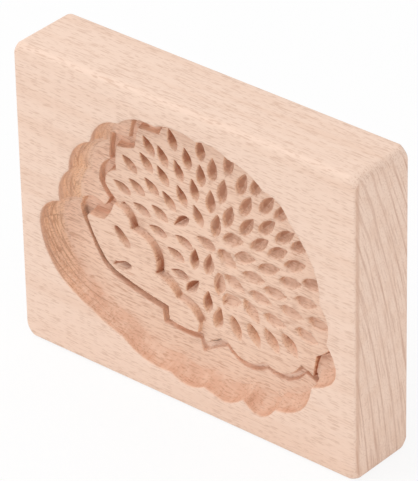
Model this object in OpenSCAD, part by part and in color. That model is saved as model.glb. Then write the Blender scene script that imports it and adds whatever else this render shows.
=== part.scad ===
// Wooden cookie stamp: one beech block with a figure carved into its front.
// The block stands on a long edge, with the carving facing -Y.
// Outlines are drawn in X and Z from the middle of the front face.

/* [Block] */
// Length of the block, along the grain
block_l = 101; // [97:0.5:140]
// Height of the block as it stands
block_h = 80.6; // [77:0.1:110]
// Thickness of the board
block_t = 19.2; // [15:0.1:30]
// Radius of the upper corner above the snout
snout_top_r = 2.4; // [1.3:0.1:8]
// Radius of the upper corner above the tail
tail_top_r = 2.2; // [1.3:0.1:8]
// Radius of the lower corner under the snout
snout_foot_r = 4; // [1.3:0.1:8]
// Radius of the lower corner under the tail
tail_foot_r = 1.6; // [1.3:0.1:8]
// Width of the bevel sanded on the front and back edges
arris = 0.5; // [0.2:0.1:1.2]

/* [Pocket] */
// Width of the pocket's rim
pocket_w = 90.4; // [70:0.2:92]
// Height of the pocket's rim
pocket_h = 68; // [52:0.2:70]
// Depth of the ground round the figure
ground_d = 7; // [6:0.1:9]
// How far the pocket's hollow walls come in from rim to foot
wall_lean = 3.2; // [1.6:0.1:3.6]
// How much of each rim scallop is left at the foot of the wall
scallop_fade = 0.7; // [0.3:0.05:1]
// Depth of the ledge behind the figure's head, as a share of the ground's depth
ledge = 0.84; // [0.78:0.01:0.88]
// Depth of the shelf under the chin, as a share of the ground's depth
shelf = 0.7; // [0.66:0.01:0.74]

/* [Figure] */
// Height of the spiny body above the ground
body_rise = 2; // [1:0.1:2.6]
// Height of the face above the spiny body
face_rise = 1.2; // [0.8:0.1:1.6]
// How far the sides of body and face lean out at their foot
side_lean = 0.4; // [0.2:0.05:0.7]
// Width of the channel that sets the face off from the ground
face_channel = 2.9; // [1.8:0.1:3.2]
// Width of the channel behind the figure's head
nape_channel = 2.7; // [1.6:0.1:2.9]
// Width of the channel under the figure's lower edge
hem_channel = 2; // [1.4:0.1:2.2]

/* [Spines] */
// Length of a spine cut
spine_l = 6.3; // [4:0.1:7]
// Width of a spine cut behind the face
spine_w = 2.6; // [1.6:0.1:3]
// How much wider the cuts at the tail are
spine_widen = 0.3; // [0:0.05:0.4]
// Depth of a spine cut
spine_d = 2.3; // [1:0.1:3]

/* [Eye and nostril] */
// Length of the eye
eye_l = 6.3; // [3:0.1:7]
// Width of the eye
eye_w = 2.7; // [1.5:0.1:3.4]
// Depth of the eye
eye_d = 1.7; // [0.8:0.1:2.5]
// Length of the nostril
nostril_l = 5.4; // [3:0.1:7]
// Width of the nostril
nostril_w = 2.4; // [1.4:0.1:2.8]
// Depth of the nostril
nostril_d = 1.6; // [0.8:0.1:2]

/* [Hidden] */
beech = [0.93, 0.81, 0.72];

// Clearance that carries each cutter past the face it starts from
past = 0.6;
face_y = -block_t / 2;
mid_z = block_h / 2;
body_d = ground_d - body_rise;
face_d = body_d - face_rise;
ledge_d = ground_d * ledge;
shelf_d = ground_d * shelf;
// The channels stop just short of the ground
channel_d = ground_d - 0.02;

// The outlines below are drawn for a pocket of this width and height
drawn_w = 90.4;
drawn_h = 68;
stretch_x = pocket_w / drawn_w;
stretch_z = pocket_h / drawn_h;

// Points on each arc of an outline. An edge that rises less than the first height
// below stays straight, and one that rises less than the second takes half of them.
arc_steps = 6;
straight_below = 0.15;
gentle_below = 0.7;
// Steps down the hollow of the pocket's wall
wall_steps = 4;
// How far a corner may reach when its outline is moved out, as 1 over this
sharpest = 0.62;
// How far every other point of a hand-cut side stands out of line
uneven = 0.03;

// Pocket rim, clockwise from the cusp above the snout. Each row is x and z of a
// cusp, the height of the scallop that follows it and the share of the wall's lean
// there. Then, for the shelf at the foot of the wall: its depth at the wall, its
// reach, its depth at the end, and how far it then slopes to the ground.
rim = [
    [-37.9, 1.8, 1.4, 1.0, ledge, 9.0, ledge, 1.0],
    [-34.6, 11.4, 2.1, 1.0, ledge, 9.0, ledge, 1.0],
    [-27.6, 21.5, 2.1, 0.9, ledge, 8.0, ledge, 1.0],
    [-18.8, 29.5, 1.4, 0.8, ledge, 6.0, ledge, 1.0],
    [-7.8, 32.7, 1.2, 0.6, 0.92, 0.5, 0.97, 0.4],
    [4.6, 33.1, 1.1, 0.6, 0.92, 0.5, 0.97, 0.4],
    [14.1, 32.0, 1.0, 0.6, 0.92, 0.5, 0.97, 0.4],
    [24.1, 27.6, 1.4, 0.6, 0.92, 0.5, 0.97, 0.4],
    [31.6, 22.2, 0.5, 0.6, 0.92, 0.5, 0.97, 0.4],
    [38.3, 13.2, 0.6, 0.5, 0.92, 0.4, 0.97, 0.3],
    [40.1, 4.0, 1.4, 0.5, 0.92, 0.4, 0.97, 0.3],
    [42.0, -5.8, 5.0, 0.7, 0.9, 0.6, 0.96, 0.5],
    [37.6, -19.6, 3.1, 1.1, 0.84, 1.6, 0.9, 1.4],
    [26.6, -30.3, 3.0, 1.1, 0.8, 9.0, 0.89, 1.0],
    [17.1, -31.4, 2.0, 1.2, 0.8, 9.0, 0.89, 1.0],
    [5.2, -32.3, 1.3, 1.2, 0.8, 9.0, 0.87, 1.0],
    [-5.5, -32.5, 0.2, 1.3, 0.76, 9.0, 0.82, 1.0],
    [-10.2, -31.9, 0.5, 1.4, shelf, 15.0, shelf, 1.0],
    [-19.3, -28.9, 0.4, 1.4, shelf, 13.0, shelf, 1.0],
    [-29.0, -24.9, 0.4, 1.4, shelf, 12.0, shelf, 1.0],
    [-37.9, -20.0, 1.1, 1.2, 0.78, 13.0, 0.76, 1.0],
    [-44.2, -8.8, 2.8, 1.0, 0.88, 14.0, ledge, 1.0]
];

// Line along the middle of the pocket, which its walls lean towards
middle_line = [[-20, -6], [22, 1]];

// Spiny body, clockwise from the brow: x, z and bulge of the edge that follows.
// The edge under the face runs inside the face's own outline.
body_line = [
    [-24.6, 5.0, 0.3], [-27.8, 8.4, 1.1], [-24.3, 12.8, 0.3], [-23.8, 19.7, -0.3],
    [-18.3, 21.0, 0.2], [-16.9, 26.9, 0], [-10.6, 27.4, 0.2], [-9.4, 29.6, 0.8],
    [0.5, 30.2, 1.0], [11.0, 29.4, 1.0], [20.6, 26.2, 1.1], [29.2, 19.4, 0.8],
    [34.8, 11.0, 0.8], [37.4, 1.6, 0.9], [38.8, -6.4, 0.5], [38.7, -11.7, 0.2],
    [35.2, -14.4, 0.1], [34.2, -20.2, -0.3], [30.4, -19.1, 2.5], [19.9, -22.4, 2.8],
    [8.5, -20.8, -0.2], [2.0, -24.2, 0], [0.4, -19.2, 0], [-9.0, -13.0, 0],
    [-15.0, -3.0, 0]
];
// Rows of it that run behind the head, and where the channel there turns inside
nape_rows = 6;
nape_close = [[-12, 22, 0], [-14, 6, 0]];
nape_line = concat([for (i = [0:nape_rows - 1]) body_line[i]], nape_close);
// Rows of it along the figure's lower edge, and where the channel there turns inside
hem_rows = [17, 22];
hem_close = [[10, -12, 0], [28, -12, 0]];
hem_line = concat([for (i = [hem_rows[0]:hem_rows[1]]) body_line[i]], hem_close);

// Face and neck, clockwise from the brow: x, z, bulge of the edge that follows and
// the share of the channel's width there, which is fullest before the snout
face_line = [
    [-24.2, 4.4, 1.5, 1], [-18.8, -0.9, 0.4, 1], [-13.7, -2.5, 1.1, 1],
    [-11.7, -10.2, 0.9, 1], [-5.4, -14.4, 1.2, 1], [1.2, -18.6, 0.1, 1],
    [0.8, -21.2, 0.5, 1], [-7.9, -20.9, 0, 1], [-8.2, -17.4, 0.4, 1],
    [-23.6, -14, 0.2, 1], [-27.2, -11.8, 0.4, 1.2], [-32.6, -2.6, 0.4, 1.4],
    [-31.9, -1.3, -0.2, 1.4], [-27.4, -1, -0.4, 1]
];

// Middle of the eye and of the nostril, and the angles that their tips point at
eye_at = [-22, -3.8];
eye_turn = 137;
nostril_at = [-21.7, -11.5];
nostril_turn = 196;

// Middle of the rosette of spines, on the figure's flank
rosette = [4.2, -3.0];

// Rings of spine cuts round the rosette: angle and radius of each cut
rings = [
    [
        [156, 29.2], [141.7, 30.8], [125, 31.8], [110, 32.3], [94.8, 30.8], [79, 30.7],
        [62.7, 30.8], [46.8, 31.4], [31, 31.2], [13.6, 31.2], [-4.8, 32.1]
    ],
    [
        [148.4, 26], [131.8, 28.6], [119.5, 28.5], [104, 27.7], [88, 26.7], [69.7, 27.7],
        [54, 28.8], [37.4, 27.8], [22.4, 27], [3.4, 28.2], [-14.4, 29.3]
    ],
    [
        [159, 22.3], [139, 23.3], [125.8, 24.1], [112.4, 24.5], [96.2, 24.1], [80.2, 22.3],
        [62.5, 23.3], [46, 24.2], [30.7, 23.2], [12.5, 24.2], [-6.6, 24.1]
    ],
    [
        [166, 16.5], [149.3, 17.8], [132.7, 18.3], [117.6, 18.4], [103.7, 19.9], [89.3, 18],
        [70.9, 16.8], [54.5, 18.8], [39.4, 18.9], [20.5, 18.4], [2, 19.1]
    ]
];

// Cuts round the middle of the rosette: x, z and angle
inner_cuts = [
    [-3.9, 1.0, 159], [-4.6, 6.3, 218], [0.5, 9.8, 116], [5.9, 9.1, 80], [11.0, 7.1, 8],
    [14.3, 3.6, 10], [17.0, -0.6, 0], [2.7, 3.3, 163], [9.0, 1.2, -29], [-6.5, -3.3, 157],
    [-5.3, -8.3, 172], [11.2, -4.4, -26], [19.0, -5.4, -8], [-0.8, -2.3, 86], [3.5, -2.2, 80],
    [6.6, -6.2, 83], [10.2, -9.6, 27], [16.2, -10.0, -56], [-1.5, -10.0, 48], [3.0, -12.5, 87],
    [23.2, -9.9, -4], [6.1, -15.7, 74]
];

// Row of cuts along the lower edge: first and last x, z and angle, and count
hem_row = [11.4, 27.5, -16.6, -14.8, -68, -54, 4];

// The keel at the bottom of each cut, as shares of the cut: how far it starts behind
// the middle, its length and its width
keel_back = 0.2;
keel_long = 0.25;
keel_wide = 0.06;

function sub2(a, b) = [a[0] - b[0], a[1] - b[1]];
function unit(v) = v / max(norm(v), 0.0001);
function mix(a, b, t) = a + (b - a) * t;
// Outlines run clockwise, so this points out of them
function outward(v) = [-v[1], v[0]];

// Point on the arc from a to b that rises by bulge in its middle
function arc_point(a, b, bulge, t) =
    mix(a, b, t) + outward(unit(sub2(b, a))) * bulge * 4 * t * (1 - t);

function steps_of(bulge) =
    let (b = abs(bulge)) b < straight_below ? 1 : b < gentle_below ? arc_steps / 2 : arc_steps;

// Closed outline through the rows, with scallops kept at the given share
function outline(rows, keep = 1) = [
    for (i = [0:len(rows) - 1])
        let (a = rows[i], b = rows[(i + 1) % len(rows)], n = steps_of(a[2]))
            for (s = [0:n - 1])
                arc_point([a[0], a[1]], [b[0], b[1]], a[2] * keep, s / n)
];

// One column of the rows, eased from row to row to match the outline's points
function along(rows, column) = [
    for (i = [0:len(rows) - 1])
        let (n = steps_of(rows[i][2]))
            for (s = [0:n - 1])
                mix(rows[i][column], rows[(i + 1) % len(rows)][column], s / n)
];

// The outline moved out by d, or by d point for point, with its corners kept sharp
function grown(line, d) = [
    for (i = [0:len(line) - 1])
        let (
            n = len(line), a = line[(i + n - 1) % n], b = line[(i + 1) % n],
            before = outward(unit(sub2(line[i], a))),
            after = outward(unit(sub2(b, line[i]))),
            middle = unit(before + after)
        )
            line[i] + middle * (is_list(d) ? d[i] : d) / max(middle * before, sharpest)
];

// What point i of ring k stands out of line
function out_of_line(i, k) = uneven * ((i + k) % 2);

// Place on the pocket's middle line that lies over or under the point
function middle_of(p) =
    let (
        from = middle_line[0], to = middle_line[1],
        t = min(max((p[0] - from[0]) / (to[0] - from[0]), 0), 1)
    )
        mix(from, to, t);

// The point moved by d towards the middle of the pocket
function nearer(p, d) = p + unit(sub2(middle_of(p), p)) * d;

// Outline points set at their depths, as places in the block
function placed(line, depths) = [
    for (i = [0:len(line) - 1])
        [line[i][0] * stretch_x, face_y + depths[i], mid_z + line[i][1] * stretch_z]
];

function level(line, d) = placed(line, [for (p = line) d]);

// Solid skinned over rings of equal length, from the front ring to the deepest
module skin(rings) {
    n = len(rings[0]);
    last = len(rings) - 1;
    sides = [
        for (k = [0:last - 1])
            for (i = [0:n - 1])
                let (j = (i + 1) % n)
                    each [
                        [k * n + i, (k + 1) * n + i, k * n + j],
                        [k * n + j, (k + 1) * n + i, (k + 1) * n + j]
                    ]
    ];
    front = [for (i = [0:n - 1]) i];
    deep = [for (i = [n - 1:-1:0]) last * n + i];
    polyhedron(points = [for (r = rings) each r], faces = concat(sides, [front, deep]));
}

// Pocket from the face down to the ground, with nothing standing in it yet. Its wall
// drops steeply from the rim and hollows out towards the foot, as a round gouge cuts.
module pocket() {
    top = outline(rim);
    sunk = outline(rim, scallop_fade);
    lean = along(rim, 3) * wall_lean;
    foot_d = along(rim, 4) * ground_d;
    reach = along(rim, 5);
    slope = along(rim, 7);
    points = [0:len(top) - 1];
    foot = [for (i = points) nearer(sunk[i], lean[i] + out_of_line(i, 0))];
    lip = [for (i = points) nearer(foot[i], reach[i] + out_of_line(i, 0))];
    edge = [for (i = points) nearer(lip[i], slope[i] + out_of_line(i, 1))];
    wall = [
        for (k = [1:wall_steps])
            let (q = 90 * k / wall_steps)
                placed([for (i = points) mix(top[i], foot[i], 1 - cos(q))], foot_d * sin(q))
    ];
    skin(concat(
        [level(top, -past), level(top, 0)],
        wall,
        [placed(lip, along(rim, 6) * ground_d), level(edge, ground_d)]
    ));
}

// Rings of one outline at the given depths, which moves out evenly from the first
// depth to the last by the given lean
function drafted(line, depths, lean) =
    let (last = len(depths) - 1, span = depths[last] - depths[0])
        [
            for (k = [0:last])
                let (d = depths[k], out = lean * (d - depths[0]) / span)
                    level(grown(line, [
                        for (i = [0:len(line) - 1]) out + (k > 0 ? out_of_line(i, k) : 0)
                    ]), d)
        ];

// Flat-topped form that stands on the ground, its top at depth d
module raised(rows, d) {
    depths = concat(d < body_d ? [d] : [], [body_d, channel_d, ground_d]);
    skin(drafted(outline(rows), depths, side_lean));
}

// Channel of width w cut round the rows into the shelf, from depth d down
module channel(rows, w, d) {
    depths = concat(d < shelf_d ? [d, shelf_d] : [d], [ledge_d, channel_d]);
    skin(drafted(grown(outline(rows), w), depths, -side_lean));
}

// Half width of a leaf at share t of its length, fullest near its inner end
function leaf_half(t) = sin(180 * pow(t, 0.8)) / 2;

// V-shaped cut like a leaf: its tip points along +X and its depth along +Z
module leaf_cut(l, w, d) {
    steps = 6;
    upper = [for (s = [0:steps]) [l * (s / steps - 0.5), w * leaf_half(s / steps)]];
    lower = [for (s = [steps - 1:-1:1]) [l * (s / steps - 0.5), -w * leaf_half(s / steps)]];
    hull() {
        translate([0, 0, -past / 2])
            linear_extrude(past / 2)
                polygon(concat(upper, lower));
        translate([-l * keel_back, -w * keel_wide / 2, 0])
            cube([l * keel_long, w * keel_wide, d]);
    }
}

// Sets a cut in the floor at depth d, turned so that its tip points at angle a
module cut_at(p, a, d) {
    translate([p[0] * stretch_x, face_y + d, mid_z + p[1] * stretch_z])
        rotate([0, -a, 0])
            rotate([-90, 0, 0])
                children();
}

// Cuts widen from the face towards the tail
module spine_cut(p, a) {
    share = min(max(p[0] / drawn_w + 0.5, 0), 1);
    cut_at(p, a, body_d)
        leaf_cut(spine_l, spine_w * (1 + spine_widen * share), spine_d);
}

module spine_cuts() {
    for (ring = rings)
        for (c = ring)
            spine_cut(rosette + c[1] * [cos(c[0]), sin(c[0])], c[0]);
    for (c = inner_cuts)
        spine_cut([c[0], c[1]], c[2]);
    for (i = [0:hem_row[6] - 1]) {
        t = i / (hem_row[6] - 1);
        z = mix(hem_row[2], hem_row[3], t * t);
        spine_cut([mix(hem_row[0], hem_row[1], t), z], mix(hem_row[4], hem_row[5], t));
    }
}

// Board with rounded corners and a bevel along its front and back edges
module board() {
    corners = [
        [-1, 1, snout_top_r], [1, 1, tail_top_r],
        [-1, -1, snout_foot_r], [1, -1, tail_foot_r]
    ];
    hull()
        for (c = corners)
            translate([c[0] * (block_l / 2 - c[2]), 0, mid_z + c[1] * (block_h / 2 - c[2])])
                rotate([90, 0, 0]) {
                    cylinder(h = block_t - 2 * arris, r = c[2], center = true, $fn = 32);
                    cylinder(h = block_t, r = c[2] - arris, center = true, $fn = 32);
                }
}

module stamp_block() {
    color(beech)
        difference() {
            board();
            difference() {
                union() {
                    pocket();
                    channel(face_line, along(face_line, 3) * face_channel, shelf_d - past);
                    channel(nape_line, nape_channel, ledge_d - past);
                    channel(hem_line, hem_channel, ledge_d - past);
                }
                raised(body_line, body_d);
                raised(face_line, face_d);
            }
            spine_cuts();
            cut_at(eye_at, eye_turn, face_d)
                leaf_cut(eye_l, eye_w, eye_d);
            cut_at(nostril_at, nostril_turn, face_d)
                leaf_cut(nostril_l, nostril_w, nostril_d);
        }
}

stamp_block();
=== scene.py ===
import math

import bpy
import numpy as np
from mathutils import Matrix, Vector
from mathutils.bvhtree import BVHTree


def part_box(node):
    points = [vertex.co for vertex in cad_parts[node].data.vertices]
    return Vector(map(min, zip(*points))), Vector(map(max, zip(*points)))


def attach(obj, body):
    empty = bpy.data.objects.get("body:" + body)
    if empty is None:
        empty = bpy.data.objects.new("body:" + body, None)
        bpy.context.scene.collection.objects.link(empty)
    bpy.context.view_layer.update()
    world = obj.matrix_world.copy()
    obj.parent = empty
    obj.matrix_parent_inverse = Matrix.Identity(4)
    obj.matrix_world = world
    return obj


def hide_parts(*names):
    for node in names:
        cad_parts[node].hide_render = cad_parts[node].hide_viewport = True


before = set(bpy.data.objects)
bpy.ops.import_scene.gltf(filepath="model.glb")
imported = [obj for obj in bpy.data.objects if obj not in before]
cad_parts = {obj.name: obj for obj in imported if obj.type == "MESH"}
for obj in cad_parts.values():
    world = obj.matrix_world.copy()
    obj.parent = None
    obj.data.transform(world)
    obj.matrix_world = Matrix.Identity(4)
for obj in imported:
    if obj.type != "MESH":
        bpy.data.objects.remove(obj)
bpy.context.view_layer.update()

# The block. One piece of steamed beech, planed and sanded on all six sides, with the
# grain along its length. The hollow and the figure in it are cut by hand with round
# gouges, which leave shallow flutes down the walls and strokes along the floors.
block_low, block_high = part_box("stamp_block")
front_y = block_low.y
middle_z = (block_low.z + block_high.z) / 2
MM = 0.001


def only(piece):
    bpy.ops.object.select_all(action="DESELECT")
    piece.select_set(True)
    bpy.context.view_layer.objects.active = piece


def apply_modifier(piece, modifier):
    only(piece)
    bpy.ops.object.modifier_apply(modifier=modifier.name)


def spots_of(mesh, what="co"):
    spots = np.empty(len(mesh.vertices) * 3)
    mesh.vertices.foreach_get(what, spots)
    return spots.reshape(-1, 3)


def on_front(spots):
    """Millimetres along the block and up from the front's middle, and how deep."""
    return spots[:, 0] / MM, (spots[:, 2] - middle_z) / MM, (spots[:, 1] - front_y) / MM


def eased(value, low, high):
    share = np.clip((value - low) / (high - low), 0, 1)
    return share * share * (3 - 2 * share)


merge_gap = 1e-7
block = bpy.data.objects.new("carved_block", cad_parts["stamp_block"].data.copy())
bpy.context.scene.collection.objects.link(block)
only(block)
bpy.ops.object.mode_set(mode="EDIT")
bpy.ops.mesh.select_all(action="SELECT")
bpy.ops.mesh.remove_doubles(threshold=merge_gap)
bpy.ops.object.mode_set(mode="OBJECT")

# How deep the carving is at each place of the front, and how far that place is
# sheltered by what stands close round it
probe_step = 0.25 * MM
probe_x = np.arange(block_low.x + probe_step, block_high.x, probe_step)
probe_z = np.arange(block_low.z + probe_step, block_high.z, probe_step)
solid = BVHTree.FromObject(block, bpy.context.evaluated_depsgraph_get())
depth_map = np.zeros((len(probe_x), len(probe_z)))
for column, x in enumerate(probe_x):
    for row, z in enumerate(probe_z):
        hit = solid.ray_cast(Vector((x, front_y - MM, z)), Vector((0, 1, 0)))[0]
        depth_map[column, row] = (hit.y - front_y if hit else 0) / MM

shelter_map = np.zeros_like(depth_map)
directions = 12
reaches_in_steps = (1, 2, 3, 5, 7, 10)
for turn in np.arange(directions) * 2 * math.pi / directions:
    steepest = np.zeros_like(depth_map)
    for reach in reaches_in_steps:
        shift = (round(reach * math.cos(turn)), round(reach * math.sin(turn)))
        rise = depth_map - np.roll(depth_map, shift, (0, 1))
        steepest = np.maximum(steepest, rise / (math.hypot(*shift) * probe_step / MM))
    shelter_map += np.sin(np.arctan(steepest)) / directions


def read_map(heights, spots):
    across = np.clip((spots[:, 0] - probe_x[0]) / probe_step, 0, len(probe_x) - 1.001)
    up = np.clip((spots[:, 2] - probe_z[0]) / probe_step, 0, len(probe_z) - 1.001)
    a, u = across.astype(int), up.astype(int)
    pa, pu = across - a, up - u
    return (heights[a, u] * (1 - pa) * (1 - pu) + heights[a + 1, u] * pa * (1 - pu)
            + heights[a, u + 1] * (1 - pa) * pu + heights[a + 1, u + 1] * pa * pu)


# The surface is remade fine enough for the tool marks
resurface = block.modifiers.new("resurface", "REMESH")
resurface.mode = "VOXEL"
resurface.voxel_size = 0.2 * MM
resurface.adaptivity = 0.01 * MM
apply_modifier(block, resurface)

soften = block.modifiers.new("soften", "SMOOTH")
soften.factor = 0.5
soften.iterations = 1
apply_modifier(block, soften)

# Outline of the figure on the front, in millimetres from its middle
figure_line = np.array([
    (-24.6, 5.0), (-27.8, 8.4), (-24.3, 12.8), (-23.8, 19.7), (-18.3, 21.0), (-16.9, 26.9),
    (-10.6, 27.4), (-9.4, 29.6), (0.5, 31.0), (11.0, 30.0), (20.6, 27.0), (29.2, 20.0),
    (34.8, 11.4), (37.4, 2.0), (38.8, -6.4), (38.7, -11.7), (35.2, -14.4), (34.2, -20.2),
    (30.4, -19.1), (25.1, -22.8), (19.9, -22.4), (14.2, -23.8), (8.5, -20.8), (2.0, -24.2),
    (0.8, -21.2), (-7.9, -20.9), (-8.2, -17.4), (-23.6, -14.0), (-27.2, -11.8), (-32.6, -2.6),
    (-31.9, -1.3), (-27.4, -1.0),
])


def from_figure(spots):
    """How far each spot lies outside the figure, seen from the front, in millimetres."""
    x, z, _ = on_front(spots)
    nearest = np.full(len(spots), np.inf)
    within = np.zeros(len(spots), bool)
    for (ax, az), (bx, bz) in zip(figure_line, np.roll(figure_line, -1, axis=0)):
        run_x, run_z = bx - ax, bz - az
        share = ((x - ax) * run_x + (z - az) * run_z) / (run_x ** 2 + run_z ** 2)
        share = np.clip(share, 0, 1)
        nearest = np.minimum(nearest, np.hypot(x - ax - share * run_x, z - az - share * run_z))
        if az != bz:
            within ^= ((az > z) != (bz > z)) & (x < run_x * (z - az) / run_z + ax)
    return np.where(within, 0, nearest)


hollow_half_l, hollow_half_h = 46, 35
carving_starts, behind_carving = 0.05, 9


def in_hollow(spots):
    x, z, depth = on_front(spots)
    return ((depth > carving_starts) & (depth < behind_carving)
            & (np.abs(x) < hollow_half_l) & (np.abs(z) < hollow_half_h))


# The walls and the floor round the figure are cut with a wide gouge, so they run into
# each other in long curves, most at the left and least at the lower edge. The rim, the
# figure and its small cuts stay crisp.
rubbings = 36
rub_level = 0.25
spots = spots_of(block.data)
x_mm, z_mm, depth = on_front(spots)
smooth_share = in_hollow(spots) * eased(depth, 0.4, 1.4) * eased(from_figure(spots), 4.3, 5.8)
smooth_share *= 1 - 0.6 * eased(x_mm, -4, 6)
smooth_share *= 1 - 0.75 * eased(x_mm, -20, -12) * eased(z_mm, -8, -14)
rub = block.vertex_groups.new(name="walls")
for level in (rub_level, 2 * rub_level, 3 * rub_level, 4 * rub_level):
    chosen = np.flatnonzero(np.abs(smooth_share - level) <= rub_level / 2)
    rub.add(chosen.tolist(), level, "REPLACE")
rub_walls = block.modifiers.new("rub_walls", "SMOOTH")
rub_walls.factor = 0.5
rub_walls.iterations = rubbings
rub_walls.vertex_group = "walls"
apply_modifier(block, rub_walls)
block.vertex_groups.clear()

# The hollow is long, and has a middle line. A place round it is measured clockwise about
# that line, in millimetres.
line_from, line_to, line_bend = (-20.0, -6.0), (22.0, 1.0), 25.0


def on_middle_line(x, z):
    share = np.clip((x - line_from[0]) / (line_to[0] - line_from[0]), 0, 1)
    return (line_from[0] + (line_to[0] - line_from[0]) * share,
            line_from[1] + (line_to[1] - line_from[1]) * share)


def round_hollow(spots):
    x, z, _ = on_front(spots)
    on_x, on_z = on_middle_line(x, z)
    turn = np.arctan2(z - on_z, x - on_x)
    return np.where(turn > 0, on_x - turn * line_bend, 2 * line_to[0] - on_x - turn * line_bend)


def unevenness(seed, *places):
    """Smooth noise from -1 to 1, with one height to each whole step of the places."""
    repeat = 48
    heights = np.random.default_rng(seed).uniform(-1, 1, (repeat, repeat, repeat))
    places = np.column_stack(places)
    cell = np.floor(places).astype(int)
    part = places - cell
    part = part * part * (3 - 2 * part)
    total = np.zeros(len(places))
    for corner in np.ndindex(2, 2, 2):
        share = np.prod(np.where(corner, part, 1 - part), axis=1)
        at = (cell + corner) % repeat
        total += share * heights[at[:, 0], at[:, 1], at[:, 2]]
    return total


# Gouge marks: long strokes that follow the rim on the walls at the left, short ones
# down the walls below, and shallow strokes along the grain on every floor. Widths and
# depths are in millimetres, and a stroke strays by so many of its widths. The strokes
# climb by one width in each lead.
stroke_w, stroke_deep, stroke_strays, stroke_lead = 1.3, 0.09, 1.1, 40
flute_w, flute_deep, flute_strays = 1.5, 0.04, 0.5
level_share = 0.6
broad_deep, floor_deep = 0.11, 0.03
spots = spots_of(block.data)
facing = spots_of(block.data, "normal")
x_mm, z_mm, depth = on_front(spots)
apart = from_figure(spots)
hollowed = in_hollow(spots)
outside = eased(apart, 0.8, 2.0)
steep = eased(-facing[:, 1], 0.97, 0.85)
round_at = round_hollow(spots)
drift = stroke_strays * unevenness(3, round_at / 9, depth / 6, depth * 0)
follow = np.abs(np.sin(np.pi * (depth / stroke_w + drift + round_at / stroke_lead)))
follow_share = eased(x_mm, -8, -22) * eased(depth, 0.3, 1.2)
wander = flute_strays * unevenness(5, round_at / 4, depth / 3, depth * 0)
flute = np.abs(np.sin(np.pi * (round_at / flute_w + wander)))
flute_share = eased(z_mm, -8, -18) * eased(depth, 0.2, 0.8) * eased(depth, 4.5, 3.0)
floor_marks = unevenness(7, x_mm / 7, spots[:, 1] / (3 * MM), z_mm / 0.8)
broad_marks = unevenness(9, x_mm / 6, depth / 4, z_mm / 2.6)
raised = hollowed * (
    outside * steep * (stroke_deep * (follow - level_share) * follow_share
                       + flute_deep * (flute - level_share) * flute_share)
    + outside * eased(depth, 1.0, 2.5) * broad_deep * broad_marks
    + (1 - steep) * eased(depth, 0.5, 2.0) * floor_deep * floor_marks
)
moved = spots + facing * raised[:, None] * MM

# The scallops of the lower rim are cut fuller: each has its two cusps, as places round
# the hollow, and how much further out it reaches between them
fuller_scallops = ((102.9, 87.6, 0.9), (87.6, 75.1, 0.7), (75.1, 66.4, 0.4))
scallop_depth = 8.5
out_by = np.zeros(len(moved))
for one_cusp, next_cusp, reach in fuller_scallops:
    past_cusp = np.clip((one_cusp - round_at) / (one_cusp - next_cusp), 0, 1)
    out_by += reach * np.sin(np.pi * past_cusp)
out_by *= (depth < scallop_depth) * eased(apart, 3.5, 5.5) * eased(z_mm, -39, -36)
on_x, on_z = on_middle_line(x_mm, z_mm)
from_line = np.column_stack((x_mm - on_x, z_mm - on_z))
from_line /= np.maximum(np.linalg.norm(from_line, axis=1), 1e-6)[:, None]
moved[:, 0] += from_line[:, 0] * out_by * MM
moved[:, 2] += from_line[:, 1] * out_by * MM

# The line behind the cheek is scooped deeper, in scallops. Each has its first cusp and
# how far it bulges. The first starts a little way in, past the brow.
cheek_line = [
    (-24.2, 4.4, 1.5), (-18.8, -0.9, 0.4), (-13.7, -2.5, 1.3), (-11.7, -10.2, 1.0),
    (-5.4, -14.4, 1.3), (1.2, -18.6, 0),
]
cheek_starts, cheek_step, cheek_out = 0.2, 0.015, 0.5
cheek_groove_w, groove_flat = 0.72, 1.15
beside_cheek = np.full(len(moved), np.inf)
start = cheek_starts
for (ax, az, bulge), (bx, bz, _) in zip(cheek_line, cheek_line[1:]):
    run = math.hypot(bx - ax, bz - az)
    out_x, out_z = (az - bz) / run, (bx - ax) / run
    for share in np.arange(start, 1, cheek_step):
        out = cheek_out + bulge * 4 * share * (1 - share)
        on_x = ax + (bx - ax) * share + out_x * out
        on_z = az + (bz - az) * share + out_z * out
        beside_cheek = np.minimum(beside_cheek, np.hypot(x_mm - on_x, z_mm - on_z))
    start = 0
scooped = np.clip(groove_flat - beside_cheek / cheek_groove_w, 0, 1)

# So are the eye and the mouth, which are leaves: middle, turn in degrees, half length
# and half width. The bottom of the channel before the snout is cut deeper too.
eye = (-22.0, -3.8, 137, 3.9, 1.5)
mouth = (-22.4, -12.0, 11, 3.5, 1.3)
for mid_x, mid_z, turn, half_l, half_w in (eye, mouth):
    lean_x, lean_z = math.cos(math.radians(turn)), math.sin(math.radians(turn))
    along = (x_mm - mid_x) * lean_x + (z_mm - mid_z) * lean_z
    across = (z_mm - mid_z) * lean_x - (x_mm - mid_x) * lean_z
    scooped = np.maximum(scooped, eased(np.hypot(along / half_l, across / half_w), 1.0, 0.5))
scooped *= hollowed
scoop_deep, channel_deep = 0.85, 0.6
moved[:, 1] += scoop_deep * scooped * eased(depth, 7.0, 6.0) * MM
in_channel = hollowed * (apart > 0.2) * (apart < 4.5)
in_channel = in_channel * eased(depth, 6.2, 6.9) * eased(x_mm, -22, -27)
moved[:, 1] += channel_deep * in_channel * MM

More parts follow.
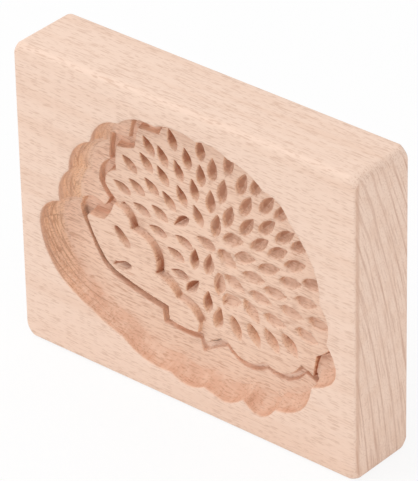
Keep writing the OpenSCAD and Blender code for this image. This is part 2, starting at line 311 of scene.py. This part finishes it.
# The small cuts in the right half are longer, drawn out along the line from the middle
# of their rosette
figure_d = 5.0
cut_starts = 0.08
cuts_end = 7.5
rosette_x, rosette_z = 4.2, -3.0
drawn_out = 0.55
not_scooped = 1 - np.minimum(scooped * 4, 1)
cut_d = np.where(apart > 0, 0, np.maximum(depth - figure_d - cut_starts, 0))
cut_d = cut_d * hollowed * not_scooped
longer_d = cut_d.copy()
on_flank = np.flatnonzero((apart == 0) & (depth < cuts_end) & (x_mm > 0) & (scooped == 0))
out = np.column_stack((x_mm[on_flank] - rosette_x, z_mm[on_flank] - rosette_z))
out_reach = drawn_out * eased(x_mm[on_flank], 0, 9)
out *= (out_reach / np.maximum(np.linalg.norm(out, axis=1), 1))[:, None]
for step in (-1, -0.5, 0.5, 1):
    there = spots[on_flank] + np.column_stack((out[:, 0], out[:, 0] * 0, out[:, 1])) * step * MM
    there_d = (read_map(depth_map, there) - figure_d - cut_starts) * (from_figure(there) == 0)
    longer_d[on_flank] = np.maximum(longer_d[on_flank], there_d)

# On the flank they have flat floors, and are steepest at their upper side
floor_d, floor_sharpness = 1.3, 2.4
lean_left, lean_up = 0.12, 0.34
flank = eased(x_mm, -4, 8) * eased(z_mm, -14, -12.5)
flank *= 1 - 0.4 * eased(z_mm, 3, 9)
flat_d = floor_d * (1 - np.exp(-longer_d * floor_sharpness / floor_d))
moved[:, 1] += (longer_d - cut_d + (flat_d - longer_d) * flank) * MM
moved[:, 0] -= lean_left * flat_d * flank * MM
moved[:, 2] += lean_up * flat_d * flank * MM

# The corners of the block are sanded round. Its long edges are sanded more than the
# ones round its ends.
half = np.array([(block_high[k] - block_low[k]) / 2 for k in range(3)]) / MM
centre = np.array([(block_high[k] + block_low[k]) / 2 for k in range(3)])
from_centre = (moved - centre) / MM
end_edge_r, long_edge_r = 0.5, 1.5
corner_reach = 5.2
corner_round = corner_reach * math.sqrt(2)
for one, other, r in ((0, 1, end_edge_r), (0, 2, end_edge_r), (1, 2, long_edge_r)):
    pair = from_centre[:, [one, other]]
    inner = half[[one, other]] - r
    over = np.abs(pair) - inner
    length = np.linalg.norm(over, axis=1)
    pull = (over > 0).all(axis=1) & (length > r)
    pair[pull] = np.sign(pair[pull]) * (inner + over[pull] * (r / length[pull])[:, None])
    from_centre[:, [one, other]] = pair
over = np.abs(from_centre) - (half - corner_reach)
length = np.linalg.norm(np.maximum(over, 0), axis=1)
pull = (over > 0).all(axis=1) & (length > corner_round)
over[pull] *= (corner_round / length[pull])[:, None]
sanded = np.sign(from_centre) * (half - corner_reach + over)
from_centre[pull] = sanded[pull]
moved = centre + from_centre * MM
block.data.vertices.foreach_set("co", moved.ravel())
block.data.update()


def mark_places(name, values):
    marks = block.data.attributes.new(name, "FLOAT", "POINT")
    marks.data.foreach_set("value", values.astype(np.float32))


mark_places("scooped", scooped)
mark_places("pitted", eased(longer_d, 0.05, 0.3))

most_triangles = 190000
split = block.modifiers.new("split", "TRIANGULATE")
apply_modifier(block, split)
thin = block.modifiers.new("thin", "DECIMATE")
thin.ratio = min(1.0, most_triangles / len(block.data.polygons))
apply_modifier(block, thin)
bpy.ops.object.shade_smooth()

spots = spots_of(block.data)
depth = on_front(spots)[2]
mark_places("sheltered", np.where(depth < behind_carving, read_map(shelter_map, spots), 0))
mark_places("round", round_hollow(spots))
mark_places("apart", from_figure(spots))

# Sanded beech: a pale pinkish wood with short flecks and faint streaks
beech = bpy.data.materials.new("sanded_beech")
beech.use_nodes = True
nodes = beech.node_tree.nodes
links = beech.node_tree.links
wood_shader = nodes["Principled BSDF"]
wood_shader.inputs["Specular IOR Level"].default_value = 0.25
place = nodes.new("ShaderNodeTexCoord")
lie = nodes.new("ShaderNodeNewGeometry")


def srgb(*parts):
    linear = [part / 255 for part in parts]
    linear = [c / 12.92 if c <= 0.04045 else ((c + 0.055) / 1.055) ** 2.4 for c in linear]
    return (*linear, 1.0)


def axis_parts(vector):
    parts = nodes.new("ShaderNodeSeparateXYZ")
    links.new(vector, parts.inputs[0])
    return parts.outputs


def mark_value(name):
    mark = nodes.new("ShaderNodeAttribute")
    mark.attribute_name = name
    return mark.outputs["Fac"]


def ramp_value(value, low, high, to_low=0.0, to_high=1.0):
    ramp = nodes.new("ShaderNodeMapRange")
    ramp.interpolation_type = "SMOOTHSTEP"
    links.new(value, ramp.inputs["Value"])
    ramp.inputs["From Min"].default_value = low
    ramp.inputs["From Max"].default_value = high
    ramp.inputs["To Min"].default_value = to_low
    ramp.inputs["To Max"].default_value = to_high
    return ramp.outputs["Result"]


def fade_value(value, low, high):
    return ramp_value(value, low, high, 1.0, 0.0)


def reckon(operation, *values):
    step = nodes.new("ShaderNodeMath")
    step.operation = operation
    for socket, value in zip(step.inputs, values):
        if isinstance(value, (int, float)):
            socket.default_value = value
        else:
            links.new(value, socket)
    return step.outputs[0]


def times(first, *others):
    product = first
    for other in others:
        product = reckon("MULTIPLY", product, other)
    return product


def rest_of(share):
    return reckon("SUBTRACT", 1.0, share)


def tint(under, over, share):
    mix = nodes.new("ShaderNodeMix")
    mix.data_type = "RGBA"
    sockets = {s.name: s for s in mix.inputs if s.type == "RGBA"}
    for name, value in (("A", under), ("B", over)):
        if isinstance(value, tuple):
            sockets[name].default_value = value
        else:
            links.new(value, sockets[name])
    links.new(share, next(s for s in mix.inputs if s.name == "Factor" and s.type == "VALUE"))
    return next(s for s in mix.outputs if s.type == "RGBA")


def stretched(scale):
    """Places on the piece, with so many steps of a pattern to the metre along X, Y and Z."""
    spread = nodes.new("ShaderNodeMapping")
    spread.inputs["Scale"].default_value = scale
    links.new(place.outputs["Object"], spread.inputs["Vector"])
    return spread.outputs[0]


def noise_on(vector, detail, roughness=0.5, distortion=0.0):
    noise = nodes.new("ShaderNodeTexNoise")
    noise.inputs["Scale"].default_value = 1.0
    noise.inputs["Detail"].default_value = detail
    noise.inputs["Roughness"].default_value = roughness
    noise.inputs["Distortion"].default_value = distortion
    links.new(vector, noise.inputs["Vector"])
    return noise.outputs["Fac"]


def dashes(scale, length_share):
    """Short strokes, one to a cell of a stretched cellular pattern, of uneven strength."""
    cells = nodes.new("ShaderNodeTexVoronoi")
    cells.inputs["Scale"].default_value = 1.0
    links.new(stretched(scale), cells.inputs["Vector"])
    stroke = fade_value(cells.outputs["Distance"], length_share * 0.55, length_share)
    strength = nodes.new("ShaderNodeSeparateColor")
    links.new(cells.outputs["Color"], strength.inputs[0])
    return times(stroke, ramp_value(strength.outputs[0], 0.25, 1.0))


# Where a place is, in millimetres from the front's middle, and which way it looks
at = axis_parts(place.outputs["Object"])
x_here = reckon("DIVIDE", at["X"], MM)
z_here = reckon("DIVIDE", reckon("SUBTRACT", at["Z"], middle_z), MM)
depth_here = reckon("DIVIDE", reckon("SUBTRACT", at["Y"], front_y), MM)
turned = axis_parts(lie.outputs["Normal"])
looks_out = reckon("ABSOLUTE", turned["Y"])
apart_here = mark_value("apart")
round_here = mark_value("round")
scooped_here = mark_value("scooped")

# Faint streaks and short dark flecks, both drawn out along the grain
planed = srgb(242, 213, 194)
streak = srgb(234, 200, 178)
streaky = noise_on(stretched((14, 260, 260)), 3)
colour = tint(planed, streak, ramp_value(streaky, 0.42, 0.72, 0.0, 0.55))
dash = reckon("MAXIMUM", dashes((440, 2700, 2700), 0.42), dashes((200, 1900, 1900), 0.34))
fine_grain = ramp_value(noise_on(stretched((260, 2600, 2600)), 2, 0.55), 0.52, 0.7)
fleck_mask = reckon("MAXIMUM", times(dash, 0.8), times(fine_grain, 0.8))

# Growth rings, seen on the ends as long arcs about a heart far in front of the block
heart_depth, heart_z = -247.4, -67.3
ring_gap = 3.4
ring_strays = 2.2
end_share = ramp_value(reckon("ABSOLUTE", turned["X"]), 0.6, 0.95)
from_heart_y = reckon("POWER", reckon("SUBTRACT", depth_here, heart_depth), 2.0)
from_heart_z = reckon("POWER", reckon("SUBTRACT", z_here, heart_z), 2.0)
ring_r = reckon("SQRT", reckon("ADD", from_heart_y, from_heart_z))
ring_r = reckon("ADD", ring_r, times(noise_on(stretched((0, 90, 16)), 2), ring_strays))
in_ring = reckon("FRACT", reckon("DIVIDE", ring_r, ring_gap))
ring = ramp_value(reckon("ABSOLUTE", reckon("SUBTRACT", in_ring, 0.5)), 0.36, 0.5)
ring_place = nodes.new("ShaderNodeCombineXYZ")
links.new(times(ring_r, 1.9), ring_place.inputs[0])
links.new(times(at["Z"], 90.0), ring_place.inputs[1])
fine_rings = noise_on(ring_place.outputs[0], 2, 0.6)
ring_share = times(ring, ramp_value(fine_rings, 0.3, 0.65, 0.5, 1.0), end_share)
pore_share = times(ramp_value(fine_rings, 0.48, 0.72), end_share)

# Cut surfaces are a little redder than the planed face. The open floors that look out, and the
# deepest floors, are lightened with painted light.
cut_floor = srgb(238, 202, 178)
floor_painted_light = srgb(254, 214, 189)
inside_x = fade_value(reckon("ABSOLUTE", x_here), 46.2, 47.0)
inside_z = fade_value(reckon("ABSOLUTE", z_here), 35.5, 36.2)
cut = times(ramp_value(depth_here, 0.1, 0.9), inside_x, inside_z, fade_value(depth_here, 8, 9))
colour = tint(colour, cut_floor, times(cut, 0.75))
level_floor = times(ramp_value(looks_out, 0.9, 0.98), ramp_value(apart_here, 1.5, 3.0, 0.0, 0.45),
                    ramp_value(z_here, -18, -10))
lit_floor_share = reckon("MAXIMUM", ramp_value(depth_here, 5.6, 6.6, 0.0, 0.75), level_floor)
colour = tint(colour, floor_painted_light, times(cut, lit_floor_share))

# They are browner where the gouge went across the grain, on the walls that look right. The walls
# that look up get painted shade, warmed with painted reflected light from the walls round them, and
# the walls at the far left are lightened with painted light.
cut_end_grain = srgb(234, 190, 157)
upward_painted_shade = srgb(225, 180, 154)
far_left_light = srgb(252, 208, 172)
patch = noise_on(stretched((260, 260, 260)), 2)
cut_across = times(cut, ramp_value(turned["X"], 0.2, 0.85), ramp_value(patch, 0.3, 0.65, 0.45, 1.0))
up_shade_share = times(ramp_value(apart_here, 0.3, 1.2), cut, ramp_value(turned["Z"], 0.05, 0.5),
               ramp_value(patch, 0.3, 0.6, 0.5, 1.0))
# Painted light: the walls at the far left, which look away from the lamp, are lightened
far_left_light_share = times(cut_across, ramp_value(x_here, -36, -28, 0.6, 0.0))
colour = tint(colour, cut_end_grain, cut_across)
colour = tint(colour, upward_painted_shade, up_shade_share)
colour = tint(colour, far_left_light, far_left_light_share)

# The small cuts have brown floors on the upper flank, and pale ones lower down
pit_brown = srgb(198, 152, 126)
pit_patch = ramp_value(noise_on(stretched((700, 700, 700)), 2), 0.35, 0.65, 0.3, 0.9)
pit_floor = times(mark_value("pitted"), ramp_value(x_here, -6, 6),
                  ramp_value(z_here, -12, 8, 0.15, 0.75))
colour = tint(colour, pit_brown, times(pit_floor, pit_patch))

# Painted light: the sheltered channel under the figure is lightened, away from its tail, against
# the shade that falls in it
channel_painted_light = srgb(255, 228, 209)
sheltered_share = times(cut, ramp_value(mark_value("sheltered"), 0.18, 0.48))
off_figure = ramp_value(apart_here, 0.1, 0.4)
channel_light_share = times(sheltered_share, fade_value(z_here, -17, -13), off_figure,
                    fade_value(x_here, 29, 31), fade_value(apart_here, 1.8, 2.8))
colour = tint(colour, channel_painted_light, times(channel_light_share, 0.85))

# Painted shade: the small cuts and the other channels are darkened where they are sheltered, most
# of all on the walls that look right and down, away from the lamp. The dark red-brown is partly the
# wood's own, where the walls that look right show the ends of the fibres. The brow's ledge and the
# low walls get less of this painted shade.
deep_cut_shade = srgb(160, 95, 64)
at_tail = ramp_value(x_here, 30, 33)
above_hem = ramp_value(z_here, -18, -12, 0.25, 1.0)
brow = times(off_figure, ramp_value(z_here, -1, 1))
level_ledge = times(ramp_value(looks_out, 0.8, 0.95), off_figure)
in_deep_shade = times(sheltered_share, fade_value(apart_here, 1.8, 3.2),
                reckon("MAXIMUM", at_tail, above_hem))
for paler, by in ((pit_floor, 0.5), (brow, 0.4), (level_ledge, 0.8)):
    in_deep_shade = times(in_deep_shade, rest_of(times(paler, by)))
in_deep_shade = reckon("MAXIMUM", in_deep_shade, ramp_value(scooped_here, 0.1, 0.6))
shaded_side_and_fibre_ends = reckon("SUBTRACT", times(turned["X"], 0.75), times(turned["Z"], 0.65))
deep_shade_share = times(in_deep_shade, ramp_value(shaded_side_and_fibre_ends, -0.05, 0.6, 0.12, 0.95))
colour = tint(colour, deep_cut_shade, deep_shade_share)

# Painted shade: the channel before the snout is darkest at its sheltered bottom, but not round the
# brow
channel_bottom_shade = srgb(112, 68, 48)
in_brow = times(ramp_value(x_here, -30.5, -28.5), ramp_value(z_here, -5, -3))
by_brow = times(fade_value(x_here, -28.5, -26.5), ramp_value(z_here, -3, -1))
bottom_shade_share = times(
    sheltered_share, ramp_value(depth_here, 5.8, 6.9), fade_value(apart_here, 3.2, 4.4),
    ramp_value(x_here, -26.5, -20, 0.9, 0.3), fade_value(z_here, -1.2, 0.6),
    fade_value(x_here, -10, -6), rest_of(in_brow), rest_of(by_brow),
    fade_value(scooped_here, 0.02, 0.2))
colour = tint(colour, channel_bottom_shade, bottom_shade_share)


def along_wall(round_scale, depth_scale, lean=0.0):
    """Places for a pattern that runs round the hollow and down its walls."""
    spread = nodes.new("ShaderNodeCombineXYZ")
    down = reckon("ADD", times(depth_here, depth_scale), times(round_here, lean))
    links.new(times(round_here, round_scale), spread.inputs[0])
    links.new(down, spread.inputs[1])
    return spread.outputs[0]


# Tool lines: along the walls, most at the left, and along the floors
flatness = ramp_value(looks_out, 0.8, 0.97)
wall_share = times(rest_of(flatness), cut)
wall_lines = noise_on(along_wall(0.1, 1.3, 0.05), 2, 0.6, 0.4)
wall_dark = times(ramp_value(wall_lines, 0.5, 0.7), wall_share,
                  ramp_value(x_here, -22, -8, 1.0, 0.3))
floor_lines = noise_on(stretched((120, 300, 1500)), 2, 0.6)
floor_dark = times(ramp_value(floor_lines, 0.52, 0.74), flatness, cut)


def scored(round_scale, depth_scale, lean, thickness):
    noise = noise_on(along_wall(round_scale, depth_scale, lean), 1)
    off_middle = reckon("ABSOLUTE", reckon("SUBTRACT", noise, 0.5))
    return fade_value(off_middle, thickness * 0.3, thickness)


# Thin lines that the gouge's corners scored: most follow the rim, a few cross them
left_wall = times(wall_share, ramp_value(apart_here, 5.0, 6.5), fade_value(x_here, -24, -14))
some = ramp_value(noise_on(stretched((110, 200, 110)), 1), 0.4, 0.6)
following = times(scored(0.06, 0.85, 0.06, 0.03), ramp_value(some, 0, 1, 0.4, 1.0))
crossing = times(scored(0.3, 0.24, 0.5, 0.02), some, 0.5)
scores = times(reckon("MAXIMUM", following, crossing), left_wall)

# Short marks down the lower walls, strongest at the rim
hatch = times(
    ramp_value(noise_on(along_wall(1.9, 0.24), 2, 0.6, 0.3), 0.5, 0.68), wall_share,
    ramp_value(z_here, -4, -12), ramp_value(depth_here, 2.0, 4.5, 1.0, 0.15))

# The marks and flecks are browner than what they are on, and the ends are a little
# redder close to the front
hatch_brown = srgb(196, 144, 112)
stroke_brown = srgb(186, 132, 102)
score_brown = srgb(158, 106, 78)
floor_brown = srgb(206, 160, 134)
planed_fleck = srgb(205, 166, 142)
cut_fleck = srgb(192, 144, 116)
ring_line = srgb(204, 164, 142)
end_front = srgb(212, 172, 148)
fleck = tint(planed_fleck, cut_fleck, cut)
for shade, share in (
    (hatch_brown, times(hatch, 0.32)),
    (stroke_brown, times(wall_dark, 0.25)),
    (score_brown, times(scores, 0.42)),
    (floor_brown, times(floor_dark, 0.5)),
    (fleck, times(fleck_mask, ramp_value(cut, 0.0, 1.0, 0.62, 0.74))),
    (ring_line, times(ring_share, 0.6)),
    (ring_line, times(pore_share, 0.6)),
    (end_front, times(end_share, fade_value(depth_here, 1.0, 1.8), 0.6)),
):
    colour = tint(colour, shade, share)
links.new(colour, wood_shader.inputs["Base Color"])
links.new(ramp_value(cut, 0.0, 1.0, 0.62, 0.5), wood_shader.inputs["Roughness"])

# The same marks and flecks are sunk, the scored lines a little more
height = times(fleck_mask, -0.8)
for lines, sunk in ((wall_dark, -1.0), (floor_dark, -1.0), (scores, -1.2), (hatch, -1.0)):
    height = reckon("ADD", height, times(lines, sunk))
bump = nodes.new("ShaderNodeBump")
bump.inputs["Strength"].default_value = 0.8
bump.inputs["Distance"].default_value = 0.06 * MM
links.new(height, bump.inputs["Height"])
links.new(bump.outputs[0], wood_shader.inputs["Normal"])

block.data.materials.clear()
block.data.materials.append(beech)
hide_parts("stamp_block")
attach(block, "root")

# The table that the block stands on. A wide sheet of matt paper, nearly white, lies
# flat under the block and takes its shadow.
bpy.ops.mesh.primitive_plane_add(size=6.0, location=(0, 0, 0))
table = bpy.context.object
table.name = "table"
paper = bpy.data.materials.new("white_paper")
paper.use_nodes = True
paper_nodes = paper.node_tree.nodes
paper_links = paper.node_tree.links
paper_shader = paper_nodes["Principled BSDF"]
paper_shader.inputs["Base Color"].default_value = (0.93, 0.93, 0.93, 1)
paper_shader.inputs["Roughness"].default_value = 0.9
seen = paper_nodes.new("ShaderNodeLightPath")
glow = paper_nodes.new("ShaderNodeEmission")
glow.inputs["Strength"].default_value = 1.0
glow_share = paper_nodes.new("ShaderNodeMath")
glow_share.operation = "MULTIPLY"
glow_share.inputs[1].default_value = 0.85
blend = paper_nodes.new("ShaderNodeMixShader")
paper_links.new(seen.outputs["Is Camera Ray"], glow_share.inputs[0])
paper_links.new(glow_share.outputs[0], blend.inputs[0])
paper_links.new(paper_shader.outputs[0], blend.inputs[1])
paper_links.new(glow.outputs[0], blend.inputs[2])
paper_links.new(blend.outputs[0], paper_nodes["Material Output"].inputs["Surface"])
table.data.materials.append(paper)

# The studio. An even pale room with one broad soft lamp up to the left in front and a
# weaker one at the right, so that no face of the block is in real shade.
room = bpy.data.worlds.new("room")
bpy.context.scene.world = room
room.use_nodes = True
room_nodes = room.node_tree.nodes
room_links = room.node_tree.links
room_light = room_nodes["Background"]
room_light.inputs["Color"].default_value = (1.0, 1.0, 1.0, 1)
room_light.inputs["Strength"].default_value = 0.74
backdrop = room_nodes.new("ShaderNodeBackground")
backdrop.inputs["Strength"].default_value = 1.0
backdrop_seen = room_nodes.new("ShaderNodeLightPath")
backdrop_blend = room_nodes.new("ShaderNodeMixShader")
room_links.new(backdrop_seen.outputs["Is Camera Ray"], backdrop_blend.inputs[0])
room_links.new(room_light.outputs[0], backdrop_blend.inputs[1])
room_links.new(backdrop.outputs[0], backdrop_blend.inputs[2])
room_links.new(backdrop_blend.outputs[0], room_nodes["World Output"].inputs["Surface"])

block_middle = (block_low + block_high) / 2


def soft_lamp(name, toward, distance, size, power):
    data = bpy.data.lights.new(name, "AREA")
    data.shape = "SQUARE"
    data.size = size
    data.energy = power
    lamp = bpy.data.objects.new(name, data)
    bpy.context.scene.collection.objects.link(lamp)
    direction = Vector(toward).normalized()
    lamp.location = block_middle + direction * distance
    lamp.rotation_euler = direction.to_track_quat("Z", "Y").to_euler()


soft_lamp("window_left", toward=(-0.6, -0.5, 1.1), distance=1.2, size=0.8, power=5.4)
soft_lamp("wall_right", toward=(1.0, -0.45, 0.3), distance=1.2, size=0.9, power=1.8)

# The camera. A long lens looks at the block from the right and above, at the
# photograph's angle and distance, and is shifted to the photograph's framing.
azimuth = math.radians(40.79)
elevation = math.radians(31.69)
roll = math.radians(-1.28)
camera_distance = 0.99161
photo_height_px = 481
focal_px = 4301.5
centre_right_px = 0.71
centre_down_px = 3.03
toward_camera = Vector((
    math.sin(azimuth) * math.cos(elevation),
    -math.cos(azimuth) * math.cos(elevation),
    math.sin(elevation),
))
level_right = Vector((math.cos(azimuth), math.sin(azimuth), 0))
level_up = toward_camera.cross(level_right)
right = level_right * math.cos(roll) + level_up * math.sin(roll)
up = level_up * math.cos(roll) - level_right * math.sin(roll)
camera_data = bpy.data.cameras.new("camera")
camera_data.sensor_width = 36.0
camera_data.lens = focal_px * camera_data.sensor_width / photo_height_px
camera_data.clip_end = 20.0
camera = bpy.data.objects.new("camera", camera_data)
bpy.context.scene.collection.objects.link(camera)
metres_per_px = camera_distance / focal_px
camera.matrix_world = Matrix.Translation(
    block_middle + toward_camera * camera_distance
    - right * centre_right_px * metres_per_px + up * centre_down_px * metres_per_px
) @ Matrix((right, up, toward_camera)).transposed().to_4x4()
bpy.context.scene.camera = camera
bpy.context.scene.view_settings.view_transform = "Standard"
